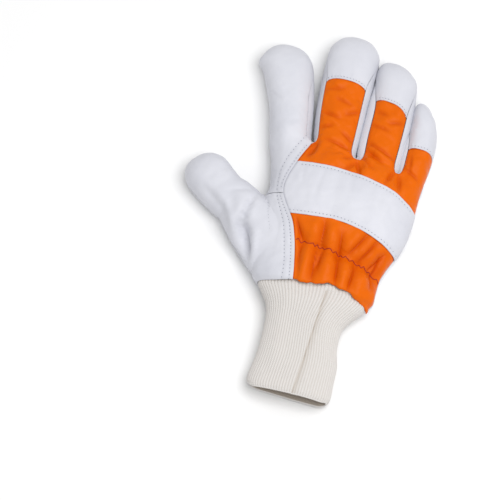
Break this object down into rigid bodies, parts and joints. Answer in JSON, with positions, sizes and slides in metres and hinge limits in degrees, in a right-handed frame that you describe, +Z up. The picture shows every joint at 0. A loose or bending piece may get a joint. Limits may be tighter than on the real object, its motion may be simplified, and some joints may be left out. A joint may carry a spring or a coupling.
{
  "type": "work glove",
  "caption": "Leather work glove for the right hand, lying palm down, with pale grain leather, orange cloth back, plain knuckle band, gathered wrist and cream ribbed knit cuff.",
  "frame": {"origin": "on the flat sole of the palm, where it rests on the table", "axes": "+Z up out of the back of the hand, +Y towards the finger tips, thumb towards -X"},
  "size_m": [0.1662, 0.2704, 0.0343],
  "materials": {
    "grain_leather": "smooth pale grain leather with a soft sheen",
    "orange_cloth": "closely woven orange synthetic cloth with a slight gloss",
    "cream_knit": "matt fine rib knit"
  },
  "bodies": {
    "root": {"palm": "grain_leather", "index_front": "grain_leather", "middle_front": "grain_leather", "index_back": "grain_leather", "thumb_back": "grain_leather", "knuckle_band": "grain_leather", "fingertip_middle": "grain_leather", "fingertip_ring": "grain_leather", "fingertip_little": "grain_leather", "fourchette_index_middle": "grain_leather", "fourchette_middle_ring": "grain_leather", "fourchette_ring_little": "grain_leather", "pulse_patch": "grain_leather", "back_fabric": "orange_cloth", "wrist_fabric": "orange_cloth", "knit_cuff": "cream_knit"}
  },
  "joints": []
}
